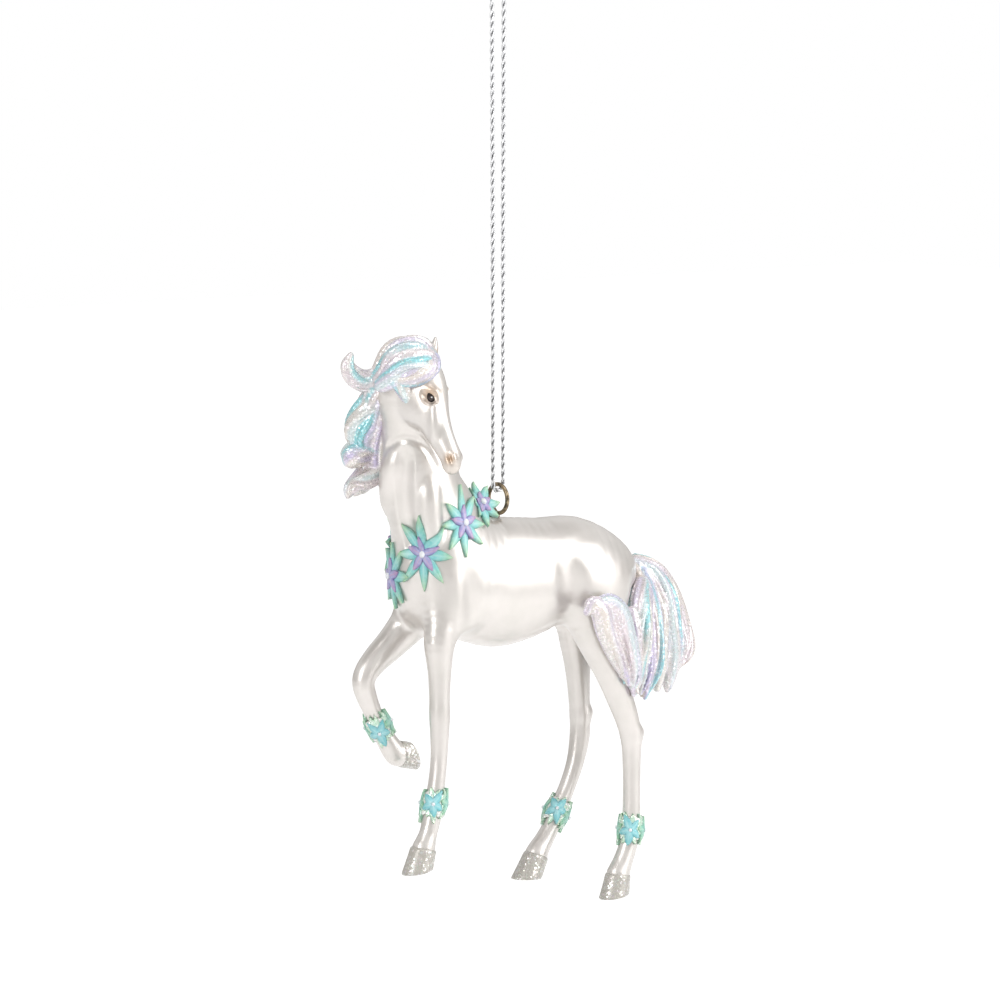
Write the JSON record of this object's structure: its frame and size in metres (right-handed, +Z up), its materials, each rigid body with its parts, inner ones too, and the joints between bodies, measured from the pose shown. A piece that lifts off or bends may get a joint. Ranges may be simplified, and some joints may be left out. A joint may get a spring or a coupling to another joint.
{
  "type": "hanging horse ornament",
  "caption": "Pearl prancing horse figurine with glitter mane and tail and flower garlands, hung by an eye ring on a metallic cord loop",
  "frame": {"origin": "the hanging point, inside the top of the cord loop just under its knot", "axes": "+Z up, the horse's trunk faces -X, its left side faces -Y"},
  "size_m": [0.0655, 0.0196, 0.1496],
  "materials": {
    "pearl_coat": "cast resin under glossy pearl-white paint",
    "glitter_hair": "iridescent white glitter with aqua and lilac streaks",
    "glitter_hoof": "silver-grey paint under fine clear glitter",
    "silver_band": "pale silvery leaf band",
    "turquoise_petal": "painted turquoise petals with sage green tips",
    "green_leaf": "painted turquoise leaves shading to sage green at the tips",
    "lilac_petal": "painted lilac petals with mauve-pink tips and a white heart",
    "bronze_wire": "antique bronze wire",
    "metallic_cord": "twisted silver metallic thread"
  },
  "bodies": {
    "loop": {"cord": "metallic_cord", "cord_knot": "metallic_cord"},
    "horse": {"horse_body": "pearl_coat", "eye_screw": "bronze_wire", "mane": "glitter_hair", "forelock": "glitter_hair", "tail": "glitter_hair", "hoof_front_left": "glitter_hoof", "hoof_front_right": "glitter_hoof", "hoof_hind_left": "glitter_hoof", "hoof_hind_right": "glitter_hoof", "anklet_band_front_left": "silver_band", "anklet_band_front_right": "silver_band", "anklet_band_hind_left": "silver_band", "anklet_band_hind_right": "silver_band", "anklet_blossom_front_left_1": "turquoise_petal", "anklet_blossom_front_left_2": "turquoise_petal", "anklet_blossom_front_left_3": "turquoise_petal", "anklet_blossom_front_left_4": "turquoise_petal", "anklet_blossom_front_right_1": "turquoise_petal", "anklet_blossom_front_right_2": "turquoise_petal", "anklet_blossom_front_right_3": "turquoise_petal", "anklet_blossom_front_right_4": "turquoise_petal", "anklet_blossom_hind_left_1": "turquoise_petal", "anklet_blossom_hind_left_2": "turquoise_petal", "anklet_blossom_hind_left_3": "turquoise_petal", "anklet_blossom_hind_left_4": "turquoise_petal", "anklet_blossom_hind_right_1": "turquoise_petal", "anklet_blossom_hind_right_2": "turquoise_petal", "anklet_blossom_hind_right_3": "turquoise_petal", "anklet_blossom_hind_right_4": "turquoise_petal", "garland_leaves_1": "green_leaf", "garland_leaves_2": "green_leaf", "garland_leaves_3": "green_leaf", "garland_leaves_4": "green_leaf", "garland_leaves_5": "green_leaf", "garland_leaves_6": "green_leaf", "garland_leaves_7": "green_leaf", "garland_blossom_1": "lilac_petal", "garland_blossom_2": "lilac_petal", "garland_blossom_3": "lilac_petal", "garland_blossom_4": "lilac_petal", "garland_blossom_5": "lilac_petal", "garland_blossom_6": "lilac_petal", "garland_blossom_7": "lilac_petal"}
  },
  "joints": [
    {"name": "ring_swing", "type": "hinge", "parent": "loop", "child": "horse", "pos_m": [0, 0, -0.07833], "axis": [0, 1, 0], "range_deg": [-85, 28]}
  ]
}
